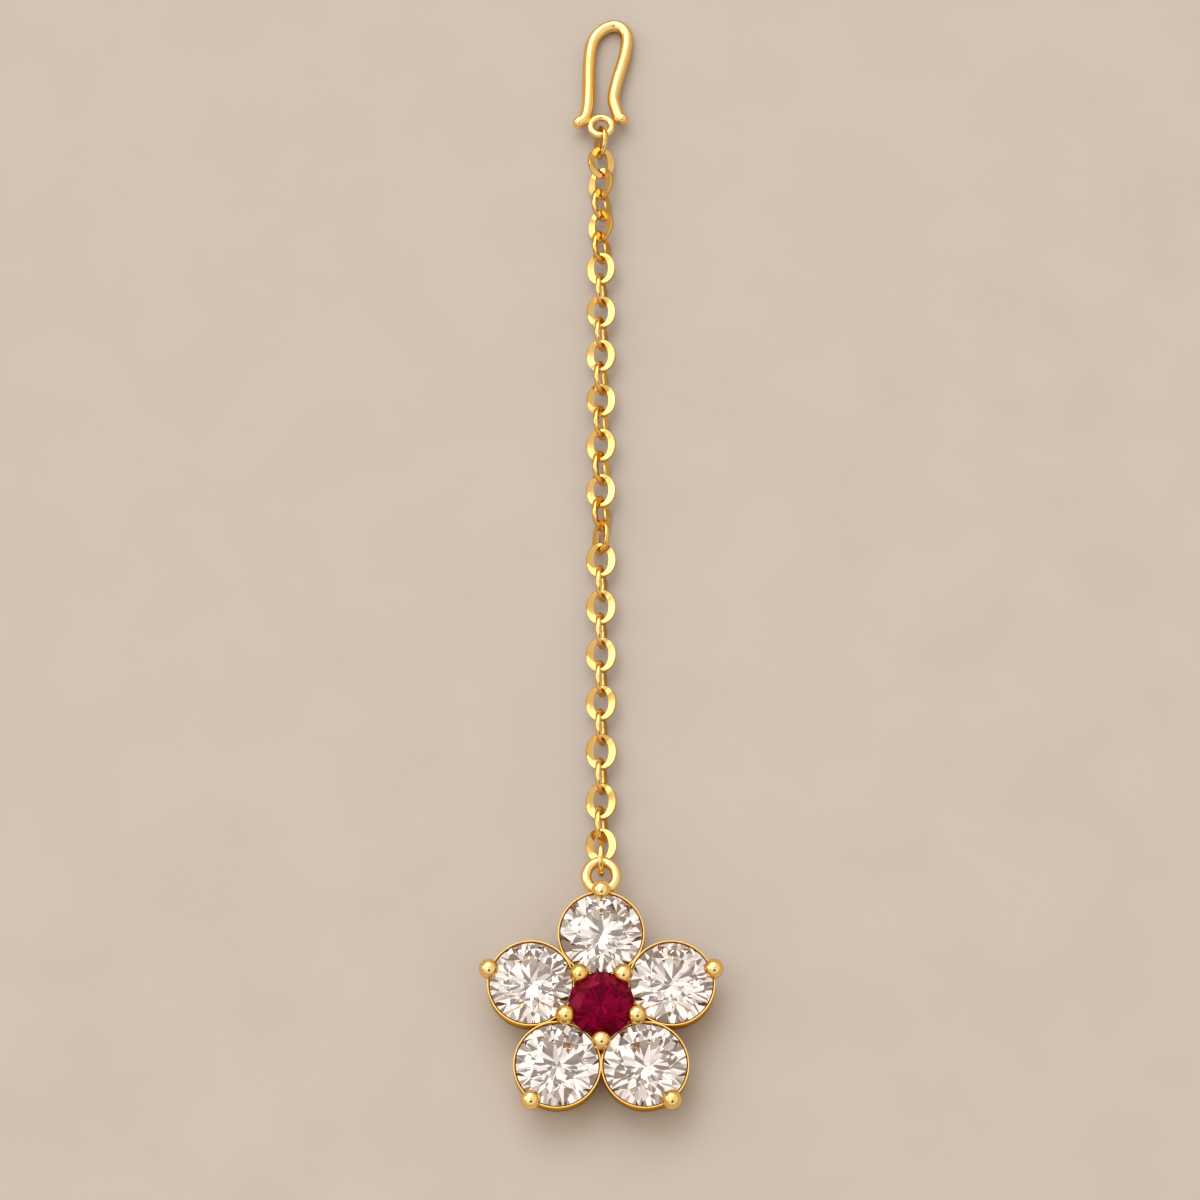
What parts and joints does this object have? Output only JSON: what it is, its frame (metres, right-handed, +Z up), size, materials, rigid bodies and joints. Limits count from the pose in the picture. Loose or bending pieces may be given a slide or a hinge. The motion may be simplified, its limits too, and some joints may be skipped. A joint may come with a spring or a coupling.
{
  "type": "maang tikka",
  "caption": "hair-parting jewel: a wire hook, a fine cable chain and a flower pendant of round brilliants round a ruby",
  "frame": {"origin": "under the middle of the whole jewel, on the surface that it lies on", "axes": "+Y runs along the chain towards the hook, +Z is up, away from the surface, and the flower is at -Y"},
  "size_m": [0.0238, 0.1244, 0.0059],
  "materials": {
    "gold": "mirror-polished yellow gold plate",
    "diamond": "clear polished brilliants",
    "ruby": "deep red polished brilliant"
  },
  "bodies": {
    "root": {"hook": "gold", "link_01": "gold", "link_02": "gold", "link_03": "gold", "link_04": "gold", "link_05": "gold", "link_06": "gold", "link_07": "gold", "link_08": "gold", "link_09": "gold", "link_10": "gold", "link_11": "gold", "link_12": "gold", "link_13": "gold", "link_14": "gold", "link_15": "gold", "link_16": "gold", "link_17": "gold", "link_18": "gold", "link_19": "gold", "link_20": "gold", "link_21": "gold", "link_22": "gold", "link_23": "gold", "link_24": "gold", "link_25": "gold", "link_26": "gold", "link_27": "gold", "link_28": "gold", "link_29": "gold", "link_30": "gold", "link_31": "gold", "link_32": "gold", "link_33": "gold", "setting": "gold", "diamond_1": "diamond", "diamond_2": "diamond", "diamond_3": "diamond", "diamond_4": "diamond", "diamond_5": "diamond", "ruby": "ruby"}
  },
  "joints": []
}
